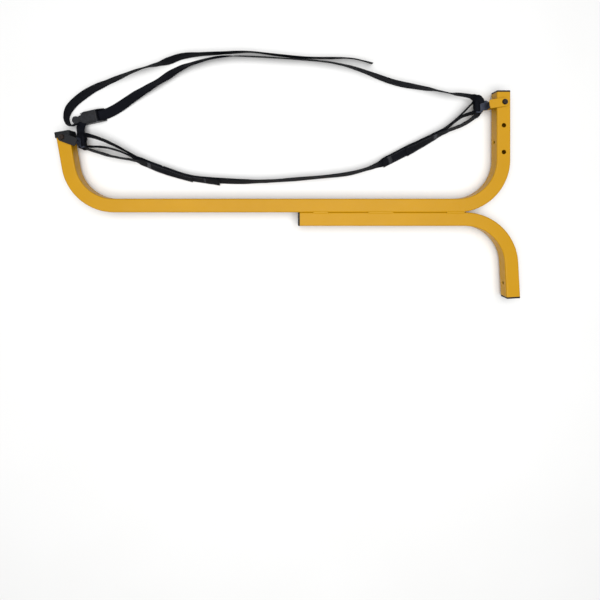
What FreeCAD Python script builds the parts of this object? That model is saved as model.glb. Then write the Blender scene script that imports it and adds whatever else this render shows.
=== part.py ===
"""Ladder stabilizer: two bent square tubes welded side by side, with swivel brackets
at the two upright ends, a webbing strap between the brackets and a cam buckle on it.

The frame lies flat: X runs along the bars, Y runs up the uprights and Z is the
thickness. The origin is the centre of the frame's outline, on the surface it lies on.
All sizes are in millimetres."""
import FreeCAD, Part
import Sketcher
import math
import os

V = FreeCAD.Vector
UP = V(0, 0, 1)
doc = FreeCAD.newDocument("ladder_stabilizer")
sheet = doc.addObject("Spreadsheet::Sheet", "Sizes")

DIMENSIONS = {
    # square tube
    "tube_side": 31.75, "tube_wall": 2.0, "tube_corner": 3.0, "bend_radius": 107.4, "underside": 8.0,
    # main bar: tangent points, lean of the left upright, straight stretches of the uprights
    "bar_y": -25.4, "left_tangent_x": -405.1, "right_tangent_x": 396.5,
    "left_bend": 80.0, "left_straight": 81.0, "right_bend": 90.0, "right_straight": 157.3,
    # lower arm
    "arm_start_x": 28.8, "arm_tangent_x": 415.3, "arm_bend": 87.0, "arm_straight": 79.3,
    # holes
    "bolt_from_right_end": 24.0, "bolt_from_left_end": 9.5, "mount_hole_r": 5.25,
    "mount_hole_upper_y": 161.6, "mount_hole_lower_y": 99.3,
    "side_hole_r": 4.0, "post_side_hole_y": 123.6, "arm_side_hole_y": -207.4,
    # plugs, cap and weld
    "flange": 4.0, "plug_round": 1.2, "cap_round": 1.8, "plate_round": 0.5, "stub_length": 14.0, "stub_gap": 0.2,
    "cap_wall": 2.3, "cap_end": 5.0, "cap_skirt": 8.5, "cap_corner": 4.5,
    "bead_radius": 5.0, "bead_depth": 4.0, "notch_gap": 0.3,
    # swivel bracket
    "washer": 2.8, "washer_r": 8.5, "ear": 2.4, "ear_play": 0.05, "ear_reach": 25.0,
    "top_ear_r": 10.0, "bottom_ear_r": 8.0, "ear_corner": 4.0, "ear_past_pin": 10.7,
    "barrel_r": 5.0, "running_gap": 0.05, "head": 2.6, "head_r": 6.6, "head_round": 1.6,
    "shank_r": 3.0, "shank_length": 22.0, "shank_room": 2.0, "socket_r": 2.0, "socket_depth": 1.0,
    "pin_r": 3.0, "spacer_r": 4.8,
    # strap link
    "link": 3.0, "link_tail_r": 5.2, "link_neck": 22.8, "link_end": 32.0, "link_bar": 5.0,
    "link_corner": 2.5, "link_neck_start": 9.0, "link_shoulder": 5.0, "link_flare": 1.5, "slot": 27.0,
    "right_reach": 33.5, "right_slot": 6.5, "left_reach": 18.5, "left_slot": 5.0,
    # webbing
    "webbing": 25.0, "ply": 2.0, "loop_gap": 0.2, "loop_taper": 5.0,
    "right_loop_tail": 11.0, "left_loop_tail": 8.0, "anchor_strap": 18.0,
    "threaded_ply": 1.6, "threaded_gap": 0.1,
    # cam buckle
    "buckle_length": 58.0, "buckle_width": 30.0, "buckle_plate": 2.0, "buckle_height": 13.0,
    "buckle_lift": 0.6, "buckle_low": 6.0, "buckle_ramp": 12.0,
    "cam_pin_r": 2.2, "cam_pin_u": 8.0, "cam_pin_z": 9.6, "cam_width": 24.8,
    "cam_drum_r": 4.6, "spring_room_r": 3.6, "spring_room": 6.0,
    "lever_length": 47.5, "lever_thick": 2.4, "lever_waist": 6.5, "lever_neck": 36.0, "lever_shoulder": 30.0,
    "knob_r": 9.0,
    "anchor_bar_r": 2.2, "anchor_bar_u": -25.0, "anchor_bar_z": 7.0,
    "spring_wire": 0.8, "spring_pitch": 1.0, "spring_turns": 4.0, "spring_gap": 0.15,
}
for row, (alias, value) in enumerate(DIMENSIONS.items(), start=1):
    sheet.set(f"A{row}", alias)
    sheet.set(f"B{row}", str(value))
    sheet.setAlias(f"B{row}", alias)
doc.recompute()


def size(alias):
    return float(sheet.get(alias))


def turned(origin, angle, z=0.0):
    return FreeCAD.Placement(V(origin.x, origin.y, z), FreeCAD.Rotation(UP, angle))


def along(start, angle, distance):
    """The point a distance from start, at an angle in degrees from +X."""
    return start + V(math.cos(math.radians(angle)), math.sin(math.radians(angle)), 0) * distance


# ------------------------------------------------------------------ places in the frame
HALF = size("tube_side") / 2
MID_Z = size("underside") + HALF
TOP_Z = size("underside") + size("tube_side")
R = size("bend_radius")

left_heading = 180 - size("left_bend")
left_bend_end = along(V(size("left_tangent_x"), size("bar_y") + R, 0), -90 - size("left_bend"), R)
left_end = along(left_bend_end, left_heading, size("left_straight"))
left_bolt = along(left_end, left_heading, -size("bolt_from_left_end"))

right_x = size("right_tangent_x") + R
right_end = V(right_x, size("bar_y") + R + size("right_straight"), 0)
right_bolt = right_end - V(0, size("bolt_from_right_end"), 0)

arm_y = size("bar_y") - size("tube_side")
arm_heading = -size("arm_bend")
arm_bend_end = along(V(size("arm_tangent_x"), arm_y - R, 0), 90 - size("arm_bend"), R)
arm_end = along(arm_bend_end, arm_heading, size("arm_straight"))

RIGHT_EARS, RIGHT_LINK = 189.0, 183.2
LEFT_EARS, LEFT_LINK = -20.0, 8.0
right_pin = along(right_bolt, RIGHT_EARS, size("ear_reach"))
left_pin = along(left_bolt, LEFT_EARS, size("ear_reach"))
right_bar = along(right_pin, RIGHT_LINK, size("right_reach"))
left_bar = along(left_pin, LEFT_LINK, size("left_reach"))

SUBPARTS = []


def subpart(obj, label):
    """Name an object as one of the pieces that are written out."""
    obj.Label = label
    SUBPARTS.append(obj)
    return obj


# ------------------------------------------------------------------ sketch helpers
def new_body(name):
    return doc.addObject("PartDesign::Body", name)


def new_sketch(body, name, plane="XY_Plane"):
    sketch = body.newObject("Sketcher::SketchObject", name)
    origin_plane = next(f for f in body.Origin.OriginFeatures if f.Role == plane)
    sketch.AttachmentSupport = [(origin_plane, "")]
    sketch.MapMode = "FlatFace"
    return sketch


def circle(sketch, x, y, alias, extra=""):
    """A circle whose radius follows a cell of the sheet."""
    index = sketch.addGeometry(Part.Circle(V(x, y, 0), UP, 1.0), False)
    constraint = sketch.addConstraint(Sketcher.Constraint("Radius", index, size(alias)))
    sketch.setExpression(f"Constraints[{constraint}]", f"Sizes.{alias}{extra}")


def outline(sketch, points):
    """A closed outline of straight lines through the points."""
    for a, b in zip(points, points[1:] + points[:1]):
        sketch.addGeometry(Part.LineSegment(V(*a, 0), V(*b, 0)), False)


def box_outline(x0, y0, x1, y1):
    return [(x0, y0), (x1, y0), (x1, y1), (x0, y1)]


def pad(body, sketch, name, length, midplane=False):
    feature = body.newObject("PartDesign::Pad", name)
    feature.Profile = sketch
    feature.Midplane = midplane
    feature.setExpression("Length", length)
    return feature


def pocket(body, sketch, name, length=None):
    """A cut both ways from the sketch, through everything unless it has a length."""
    doc.recompute()
    before = body.Shape.Volume
    feature = body.newObject("PartDesign::Pocket", name)
    feature.Profile = sketch
    feature.Midplane = True
    if length:
        feature.setExpression("Length", length)
    else:
        feature.Type = "ThroughAll"
    doc.recompute()
    if body.Shape.Volume >= before:
        raise RuntimeError(f"{name} cuts nothing")
    return feature


def soften(body, name, alias, face_x=None):
    """Round the edges of a plate's two faces, or of the one end face at face_x."""
    doc.recompute()
    base, flat = body.Tip, []
    for number, edge in enumerate(base.Shape.Edges, start=1):
        box = edge.BoundBox
        on_plate = face_x is None and box.ZLength < 1e-6
        on_end = face_x is not None and box.XLength < 1e-6 and abs(box.XMin - face_x) < 1e-6
        if on_plate or on_end:
            flat.append(f"Edge{number}")
    fillet = body.newObject("PartDesign::Fillet", name)
    fillet.Base = (base, flat)
    fillet.setExpression("Radius", f"Sizes.{alias}")
    doc.recompute()


def turned_part(label, name, points):
    """A body of revolution about Z from its half outline, given as (radius, height)."""
    body = new_body(name)
    sketch = new_sketch(body, name + "_profile", "XZ_Plane")
    outline(sketch, points)
    spin = body.newObject("PartDesign::Revolution", name + "_spin")
    spin.Profile = sketch
    spin.ReferenceAxis = (sketch, ["V_Axis"])
    spin.Angle = 360
    return subpart(body, label) if label else body


# ------------------------------------------------------------------ square tubes
def tube_section(name, side, corner, start, heading):
    """Rounded square wire, square to the heading, centred on the tube's start."""
    half = side / 2
    flat = half - corner
    edges = []
    for quarter in range(4):
        turn = quarter * 90
        spin = FreeCAD.Rotation(UP, turn)
        edges.append(Part.LineSegment(spin.multVec(V(half, -flat, 0)), spin.multVec(V(half, flat, 0))).toShape())
        centre = spin.multVec(V(flat, flat, 0))
        arc = Part.Circle(centre, UP, corner)
        edges.append(Part.Arc(arc, math.radians(turn), math.radians(turn + 90)).toShape())
    wire = Part.Wire(Part.__sortEdges__(edges))
    section = doc.addObject("Part::Feature", name)
    section.Shape = wire
    facing = FreeCAD.Rotation(UP, heading).multiply(FreeCAD.Rotation(V(0, 1, 0), 90))
    section.Placement = FreeCAD.Placement(V(start.x, start.y, MID_Z), facing)
    return section


def swept(name, path, side, corner, start, heading):
    sweep = doc.addObject("Part::Sweep", name)
    sweep.Sections = [tube_section(name + "_section", side, corner, start, heading)]
    sweep.Spine = (path, [f"Edge{i + 1}" for i in range(len(path.Shape.Edges))])
    sweep.Solid = True
    sweep.Frenet = False
    return sweep


def path_object(name, edges):
    path = doc.addObject("Part::Feature", name)
    path.Shape = Part.Wire(edges)
    path.Placement = FreeCAD.Placement(V(0, 0, MID_Z), FreeCAD.Rotation())
    return path


def bend(centre, from_angle, turn):
    """The centre line of a bend: an arc of the bend radius, turning by a signed angle."""
    mid = along(centre, from_angle + turn / 2, R)
    return Part.Arc(along(centre, from_angle, R), mid, along(centre, from_angle + turn, R)).toShape()


OVERCUT = 5.0  # how far a cutting shape runs past the surface it starts from


def drill(name, centre, direction, length, radius_alias):
    """A cylinder to cut a hole with, centred on a point."""
    tool = doc.addObject("Part::Cylinder", name)
    tool.setExpression("Radius", f"Sizes.{radius_alias}")
    tool.Height = length
    spin = FreeCAD.Rotation(UP, direction)
    tool.Placement = FreeCAD.Placement(centre - direction * (length / 2), spin)
    return tool


def cut(base, tools, label=None):
    """Base minus every tool, one cut after another."""
    for number, tool in enumerate(tools):
        result = doc.addObject("Part::Cut", f"{base.Name}_cut{number}")
        result.Base = base
        result.Tool = tool
        base = result
    doc.recompute()
    return subpart(base, label) if label else base


def at_mid(point):
    return V(point.x, point.y, MID_Z)


def main_bar_and_arm():
    """The long bar with its two uprights, and the shorter bar that bends down."""
    side, corner, wall = size("tube_side"), size("tube_corner"), size("tube_wall")
    left_centre = V(size("left_tangent_x"), size("bar_y") + R, 0)
    right_centre = V(size("right_tangent_x"), size("bar_y") + R, 0)
    left_tangent, right_tangent = left_centre - V(0, R, 0), right_centre - V(0, R, 0)
    bar_path = path_object("bar_path", [
        Part.LineSegment(left_end, left_bend_end).toShape(),
        bend(left_centre, -90 - size("left_bend"), size("left_bend")),
        Part.LineSegment(left_tangent, right_tangent).toShape(),
        bend(right_centre, -90, size("right_bend")),
        Part.LineSegment(along(right_centre, 0, R), right_end).toShape(),
    ])
    arm_centre = V(size("arm_tangent_x"), arm_y - R, 0)
    arm_start = V(size("arm_start_x"), arm_y, 0)
    arm_path = path_object("arm_path", [
        Part.LineSegment(arm_start, arm_centre + V(0, R, 0)).toShape(),
        bend(arm_centre, 90, -size("arm_bend")),
        Part.LineSegment(arm_bend_end, arm_end).toShape(),
    ])
    bar_outer = swept("bar_outer", bar_path, side, corner, left_end, left_heading)
    arm_outer = swept("arm_outer", arm_path, side, corner, arm_start, 0)
    bar_inner = swept("bar_inner", bar_path, side - 2 * wall, corner - wall, left_end, left_heading)
    arm_inner = swept("arm_inner", arm_path, side - 2 * wall, corner - wall, arm_start, 0)

    through = side + 2 * OVERCUT
    upper_hole = V(right_x, size("mount_hole_upper_y"), MID_Z)
    lower_hole = V(right_x, size("mount_hole_lower_y"), MID_Z)
    post_side = V(right_x - HALF, size("post_side_hole_y"), MID_Z)
    cut(bar_outer, [
        bar_inner,
        drill("left_bolt_hole", at_mid(left_bolt), UP, through, "barrel_r"),
        drill("right_bolt_hole", at_mid(right_bolt), UP, through, "barrel_r"),
        drill("upper_mount_hole", upper_hole, UP, through, "mount_hole_r"),
        drill("lower_mount_hole", lower_hole, UP, through, "mount_hole_r"),
        drill("post_side_hole", post_side, V(1, 0, 0), 3 * wall, "side_hole_r"),
    ], "main_bar_tube")

    run = (size("arm_side_hole_y") - arm_end.y) / math.sin(math.radians(arm_heading))
    arm_side = at_mid(along(along(arm_end, arm_heading, run), arm_heading - 90, HALF))
    inward = along(V(0, 0, 0), arm_heading - 90, 1)
    cut(arm_outer, [
        arm_inner,
        drill("arm_side_hole", arm_side, inward, 3 * wall, "side_hole_r"),
    ], "lower_arm_tube")
    return bar_outer, arm_outer


WELD_SPANS = ((60.0, 94.0), (188.0, 246.0), (371.0, 412.0))


def weld_beads(bar_outer, arm_outer):
    """Short stitch welds in the groove between the two bars, three on each face."""
    seam_y = (size("bar_y") + arm_y) / 2
    beads = []
    for start, end in WELD_SPANS:
        for z in (TOP_Z - size("bead_depth"), size("underside") + size("bead_depth")):
            bead = doc.addObject("Part::Cylinder", "bead")
            bead.setExpression("Radius", "Sizes.bead_radius")
            bead.Height = end - start
            bead.Placement = FreeCAD.Placement(V(start, seam_y, z), FreeCAD.Rotation(V(0, 1, 0), 90))
            beads.append(bead)
    raw = doc.addObject("Part::MultiFuse", "raw_beads")
    raw.Shapes = beads
    cut(raw, [bar_outer, arm_outer], "weld_beads")


def rounded_block(name, length, side, corner):
    """A square block with rounded edges, along X, from a sketch of its section."""
    body = new_body(name)
    sketch = new_sketch(body, name + "_section", "YZ_Plane")
    half, flat = side / 2, side / 2 - corner
    for quarter in range(4):
        turn = quarter * 90
        spin = FreeCAD.Rotation(UP, turn)
        sketch.addGeometry(Part.LineSegment(spin.multVec(V(half, -flat, 0)), spin.multVec(V(half, flat, 0))))
        arc = Part.Circle(spin.multVec(V(flat, flat, 0)), UP, corner)
        sketch.addGeometry(Part.ArcOfCircle(arc, math.radians(turn), math.radians(turn + 90)))
    pad(body, sketch, name + "_pad", length)
    return body


def end_plug(label, end, heading):
    """Moulded plug: a stub pushed into the tube and a flange over its end."""
    wall = size("tube_wall")
    inner = size("tube_side") - 2 * wall - 2 * size("stub_gap")
    flange = rounded_block(label + "_flange", "Sizes.flange", size("tube_side"), size("tube_corner"))
    soften(flange, label + "_edge", "plug_round", size("flange"))
    flange.Placement = turned(end, heading, MID_Z)
    stub = rounded_block(label + "_stub", "Sizes.stub_length", inner, size("tube_corner") - wall)
    stub.Placement = turned(along(end, heading, -size("stub_length")), heading, MID_Z)
    plug = doc.addObject("Part::Fuse", label)
    plug.Base = flange
    plug.Tool = stub
    subpart(plug, label)


def rubber_foot_cap():
    """Slip-over rubber cap on the end of the left upright, notched round the washers."""
    outer = rounded_block("cap_outer", "Sizes.cap_skirt + Sizes.cap_end",
                          size("tube_side") + 2 * size("cap_wall"), size("cap_corner"))
    soften(outer, "cap_edge", "cap_round", size("cap_skirt") + size("cap_end"))
    outer.Placement = turned(along(left_end, left_heading, -size("cap_skirt")), left_heading, MID_Z)
    room = rounded_block("cap_room", f"Sizes.cap_skirt + {OVERCUT}", size("tube_side"), size("tube_corner"))
    room.Placement = turned(along(left_end, left_heading, -size("cap_skirt") - OVERCUT), left_heading, MID_Z)
    notch = drill("cap_notch", at_mid(left_bolt), UP, size("tube_side") + 4 * OVERCUT, "washer_r")
    notch.setExpression("Radius", "Sizes.washer_r + Sizes.notch_gap")
    cut(outer, [room, notch], "rubber_foot_cap")


# ------------------------------------------------------------------ swivel brackets
def washer_pair(prefix, bolt):
    """Nylon washers between the tube and the two ears."""
    shapes = []
    for z in (size("underside") - size("washer"), TOP_Z):
        body = new_body(prefix + "_washer")
        sketch = new_sketch(body, prefix + "_washer_ring")
        circle(sketch, 0, 0, "washer_r")
        circle(sketch, 0, 0, "barrel_r")
        pad(body, sketch, prefix + "_washer_pad", "Sizes.washer")
        body.Placement = turned(bolt, 0, z)
        shapes.append(body)
    pair = doc.addObject("Part::Compound", prefix + "_washers")
    pair.Links = shapes
    subpart(pair, prefix + "_washers")


def ear_plate(label, bolt, angle, z, half):
    """One of the two flat ears that straddle the tube: round about the bolt, squarer past the pin."""
    body = new_body(label)
    sketch = new_sketch(body, label + "_outline")
    corner, end = size("ear_corner"), size("ear_reach") + size("ear_past_pin")
    flat = half - corner
    for a, b in (((0, half), (end - corner, half)), ((end, flat), (end, -flat)), ((end - corner, -half), (0, -half))):
        sketch.addGeometry(Part.LineSegment(V(*a, 0), V(*b, 0)), False)
    sketch.addGeometry(Part.ArcOfCircle(Part.Circle(V(end - corner, flat, 0), UP, corner), 0, math.pi / 2))
    sketch.addGeometry(Part.ArcOfCircle(Part.Circle(V(end - corner, -flat, 0), UP, corner), -math.pi / 2, 0))
    sketch.addGeometry(Part.ArcOfCircle(Part.Circle(V(), UP, half), math.pi / 2, 3 * math.pi / 2))
    pad(body, sketch, label + "_pad", "Sizes.ear")
    soften(body, label + "_edges", "plate_round")
    holes = new_sketch(body, label + "_holes")
    circle(holes, 0, 0, "barrel_r", " + Sizes.running_gap")
    circle(holes, size("ear_reach"), 0, "pin_r")
    pocket(body, holes, label + "_drill")
    body.Placement = turned(bolt, angle, z)
    subpart(body, label)


def swivel_bracket(prefix, bolt, pin, angle):
    """Binding post through the tube, two ears turning on it, and the link's pin."""
    washer_pair(prefix, bolt)
    ear_gap = size("ear_play")
    top_ear = TOP_Z + size("washer") + ear_gap
    bottom_ear = size("underside") - size("washer") - size("ear") - ear_gap
    ear_plate(prefix + "_top_ear", bolt, angle, top_ear, size("top_ear_r"))
    ear_plate(prefix + "_bottom_ear", bolt, angle, bottom_ear, size("bottom_ear_r"))

    grip_top = top_ear + size("ear") + ear_gap
    grip_bottom = bottom_ear - ear_gap
    head, head_r, rim = size("head"), size("head_r"), size("head") - size("head_round")
    crown = head_r - size("head_round")
    barrel_r, shank_r = size("barrel_r"), size("shank_r")
    grip = grip_top - grip_bottom
    thread_end = grip - size("shank_length") - size("shank_room")
    socket_r, socket_z = size("socket_r"), head - size("socket_depth")
    barrel = turned_part(prefix + "_barrel_nut", prefix + "_barrel", [
        (0, -head), (crown, -head), (head_r, -rim), (head_r, 0), (barrel_r, 0),
        (barrel_r, grip), (shank_r, grip), (shank_r, thread_end), (0, thread_end),
    ])
    barrel.Placement = turned(bolt, 0, grip_bottom)
    screw = turned_part(prefix + "_pivot_screw", prefix + "_screw", [
        (0, socket_z), (socket_r, socket_z), (socket_r, head), (crown, head), (head_r, rim), (head_r, 0),
        (shank_r, 0), (shank_r, -size("shank_length")), (0, -size("shank_length")),
    ])
    screw.Placement = turned(bolt, 0, grip_top)

    pin_body = new_body(prefix + "_pin")
    sketch = new_sketch(pin_body, prefix + "_pin_circle")
    circle(sketch, 0, 0, "pin_r")
    pad(pin_body, sketch, prefix + "_pin_pad", f"{top_ear + size('ear') - bottom_ear}")
    pin_body.Placement = turned(pin, 0, bottom_ear)
    subpart(pin_body, prefix + "_link_pin")

    inner = top_ear - bottom_ear - size("ear")
    spacers = []
    for z in (bottom_ear + size("ear"), MID_Z + size("link") / 2 + ear_gap):
        body = new_body(prefix + "_spacer")
        ring = new_sketch(body, prefix + "_spacer_ring")
        circle(ring, 0, 0, "spacer_r")
        circle(ring, 0, 0, "pin_r", " + Sizes.running_gap")
        pad(body, ring, prefix + "_spacer_pad", f"({inner} - Sizes.link) / 2 - Sizes.ear_play")
        body.Placement = turned(pin, 0, z)
        spacers.append(body)
    pair = doc.addObject("Part::Compound", prefix + "_spacers")
    pair.Links = spacers
    subpart(pair, prefix + "_spacers")


def strap_link(prefix, pin, angle):
    """Steel plate on the pin: a round tail, a neck and a slotted end for the webbing."""
    reach, slot_depth = size(prefix + "_reach"), size(prefix + "_slot")
    tail, neck, wide, bar = size("link_tail_r"), size("link_neck") / 2, size("link_end") / 2, size("link_bar")
    slot_start = reach - bar / 2 - slot_depth
    body = new_body(prefix + "_link")
    sketch = new_sketch(body, prefix + "_link_outline")
    corner = size("link_corner")
    outer = reach + bar / 2
    shoulder = slot_start - size("link_shoulder")
    upper = [(0, tail), (min(size("link_neck_start"), shoulder - 1), neck), (shoulder, neck),
             (slot_start - size("link_flare"), wide), (outer - corner, wide), (outer, wide - corner)]
    ring = upper + [(x, -y) for x, y in reversed(upper)]
    for a, b in zip(ring, ring[1:]):
        sketch.addGeometry(Part.LineSegment(V(*a, 0), V(*b, 0)))
    sketch.addGeometry(Part.ArcOfCircle(Part.Circle(V(), UP, tail), math.pi / 2, 3 * math.pi / 2))
    pad(body, sketch, prefix + "_link_pad", "Sizes.link", midplane=True)
    soften(body, prefix + "_link_edges", "plate_round")
    openings = new_sketch(body, prefix + "_link_openings")
    circle(openings, 0, 0, "pin_r", " + Sizes.running_gap")
    half = size("slot") / 2
    outline(openings, box_outline(slot_start, -half, reach - bar / 2, half))
    pocket(body, openings, prefix + "_link_slot")
    body.Placement = turned(pin, angle, MID_Z)
    subpart(body, prefix + "_strap_link")


def webbing_loop(prefix, bar_centre, angle):
    """Webbing folded round the link's bar: both plies meet beyond the bar."""
    body = new_body(prefix + "_loop")
    sketch = new_sketch(body, prefix + "_loop_section", "XZ_Plane")
    room_x = size("link_bar") / 2 + size("loop_gap")
    room_z = size("link") / 2 + size("loop_gap")
    tail = size(prefix + "_loop_tail")
    ply, taper_end = size("ply"), room_x + size("loop_taper")
    outline(sketch, [
        (-room_x - ply, -room_z), (-room_x - ply, room_z), (-room_x, room_z + ply), (room_x, room_z + ply),
        (taper_end, ply), (tail, ply), (tail, -ply), (taper_end, -ply),
        (room_x, -room_z - ply), (-room_x, -room_z - ply),
    ])
    outline(sketch, box_outline(-room_x, -room_z, room_x, room_z))
    pad(body, sketch, prefix + "_loop_pad", "Sizes.webbing", midplane=True)
    body.Placement = turned(bar_centre, angle, MID_Z)
    subpart(body, prefix + "_webbing_loop")


# ------------------------------------------------------------------ webbing runs
def strap_path(points):
    """Straight runs joined by tangent arcs, each as large as its two runs allow."""
    edges, radii = [], []
    start = points[0]
    for before, corner, after in zip(points, points[1:], points[2:]):
        into, out = (before - corner), (after - corner)
        shorter = 0.45 * min(into.Length, out.Length)
        into.normalize()
        out.normalize()
        half_turn = (math.pi - into.getAngle(out)) / 2
        radii.append(shorter / math.tan(half_turn))
        first, last = corner + into * shorter, corner + out * shorter
        inward = (into + out).normalize()
        middle = corner + inward * (radii[-1] / math.cos(half_turn) - radii[-1])
        edges.append(Part.LineSegment(start, first).toShape())
        edges.append(Part.Arc(first, middle, last).toShape())
        start = last
    edges.append(Part.LineSegment(start, points[-1]).toShape())
    return Part.Wire(edges), radii


def webbing_run(label, points):
    """A length of webbing standing on its edge along a route."""
    points = [V(*p) for p in points]
    wire, radii = strap_path(points)
    heading = points[1] - points[0]
    heading.z = 0
    heading.normalize()
    across = heading.cross(UP) * (size("ply") / 2)
    high = UP * (size("webbing") / 2)
    corners = [points[0] + across + high, points[0] - across + high,
               points[0] - across - high, points[0] + across - high]
    section = Part.makePolygon(corners + corners[:1])
    pipe = Part.BRepOffsetAPI.MakePipeShell(wire)
    pipe.setBiNormalMode(UP)
    pipe.add(section, False, False)
    pipe.build()
    pipe.makeSolid()
    run = doc.addObject("Part::Feature", label)
    run.Shape = pipe.shape()
    expected = size("ply") * size("webbing") * wire.Length
    tight = ", ".join(f"{r:.0f}" for r in radii)
    print(f"{label}: length {wire.Length:.0f}, volume {run.Shape.Volume / expected:.3f} of section x length, "
          f"radii {tight}")
    subpart(run, label)


EDGE = 14.5  # height of the middle of webbing that stands on its edge on the ground

ROUTES = {
    "upper_run": [
        (433, 220.5, 24), (400, 236, 19), (335, 250, EDGE), (262, 263, EDGE), (160, 297, EDGE),
        (70, 321, EDGE), (-40, 326.5, EDGE), (-150, 327, EDGE), (-222, 312, EDGE), (-292, 277, EDGE),
        (-368, 234, EDGE), (-438, 193.5, EDGE)],
    "strap_tail": [
        (-508, 162.5, EDGE), (-520, 165, EDGE), (-528, 186, EDGE), (-519, 213, EDGE), (-487, 240, EDGE),
        (-432, 265, EDGE), (-362, 293, EDGE), (-295, 320, EDGE), (-242, 333, EDGE), (-170, 333.5, EDGE),
        (-105, 340, EDGE), (-30, 332, EDGE), (60, 328, EDGE), (140, 324, EDGE), (203, 309, EDGE)],
    "lower_run": [
        (-470, 138.5, 24), (-446, 138, 20), (-403, 117, EDGE), (-345, 89, EDGE), (-255, 52, EDGE),
        (-154, 31, EDGE), (-50, 31, EDGE), (60, 39, EDGE), (150, 52, EDGE), (222, 80, EDGE),
        (300, 118, EDGE), (395, 160, EDGE), (413, 188, 19), (433, 214, 24)],
    "left_return_ply": [
        (-470, 118.5, 24), (-446, 118, 20), (-400, 107, EDGE), (-346, 86.4, EDGE), (-256, 49.4, EDGE),
        (-162, 29.5, EDGE)],
    "left_anchor_ply": [
        (-473, 112.5, 24), (-449, 99, 20), (-402, 89, EDGE), (-347, 81.5, EDGE), (-257, 45.5, EDGE),
        (-196, 31.5, EDGE)],
    "right_return_ply": [
        (433, 199.5, 24), (419, 186.5, 20), (396.5, 157.6, EDGE), (301.2, 115.5, EDGE), (232, 82, EDGE)],
    "right_upper_ply": [
        (446, 194, 24), (434, 176, 20), (398, 155, EDGE), (302.5, 112.5, EDGE), (262, 92, EDGE)],
}


ANCHOR_X, ANCHOR_BUCKLE_END, ANCHOR_LINK_END = -505.0, (164.5, 9.0), (144.6, MID_Z)


def anchor_strap():
    """Short length of webbing between the left link and the buckle, lying nearly flat."""
    low, high = ANCHOR_BUCKLE_END, ANCHOR_LINK_END
    ply = size("ply") / 2
    corners = [V(0, low[0], low[1] - ply), V(0, low[0], low[1] + ply),
               V(0, high[0], high[1] + ply), V(0, high[0], high[1] - ply)]
    face = Part.Face(Part.makePolygon(corners + corners[:1]))
    strap = doc.addObject("Part::Feature", "anchor_strap")
    strap.Shape = face.extrude(V(size("anchor_strap"), 0, 0))
    strap.Placement = FreeCAD.Placement(V(ANCHOR_X, 0, 0), FreeCAD.Rotation())
    subpart(strap, "anchor_strap")


# ------------------------------------------------------------------ cam buckle
BUCKLE_AT, BUCKLE_ANGLE = V(-467.0, 187.0, 0), 12.5


def buckle_place(u=0.0, z=0.0):
    return turned(along(BUCKLE_AT, BUCKLE_ANGLE, u), BUCKLE_ANGLE, z)


def buckle_body():
    """Pressed channel: a floor and two side walls, pierced for the cam pin and the bar."""
    body = new_body("buckle_channel")
    length, width = size("buckle_length"), size("buckle_width")
    plate, height = size("buckle_plate"), size("buckle_height")
    section = new_sketch(body, "channel_section", "YZ_Plane")
    half = width / 2
    outline(section, [(-half, 0), (half, 0), (half, height), (half - plate, height), (half - plate, plate),
                      (plate - half, plate), (plate - half, height), (-half, height)])
    pad(body, section, "channel_pad", "Sizes.buckle_length", midplane=True)
    slopes = new_sketch(body, "channel_slopes", "XZ_Plane")
    low, ramp = size("buckle_low"), size("buckle_ramp")
    for side in (1, -1):
        end = side * length / 2
        outline(slopes, [(end, low), (end + side, low), (end + side, height + 1), (end - side * ramp, height + 1),
                         (end - side * ramp, height)])
    pocket(body, slopes, "channel_trim")
    holes = new_sketch(body, "channel_holes", "XZ_Plane")
    lift = size("buckle_lift")
    circle(holes, size("cam_pin_u"), size("cam_pin_z") - lift, "cam_pin_r")
    circle(holes, size("anchor_bar_u"), size("anchor_bar_z") - lift, "anchor_bar_r")
    pocket(body, holes, "channel_drill")
    body.Placement = buckle_place(0, lift)
    subpart(body, "buckle_body")


def cross_pin(label, u, z, radius_alias):
    """A pin across the buckle, from the outside of one wall to the other."""
    body = new_body(label + "_rod")
    sketch = new_sketch(body, label + "_circle", "XZ_Plane")
    circle(sketch, 0, 0, radius_alias)
    pad(body, sketch, label + "_pad", "Sizes.buckle_width", midplane=True)
    body.Placement = buckle_place(u, z)
    subpart(body, label)


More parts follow.
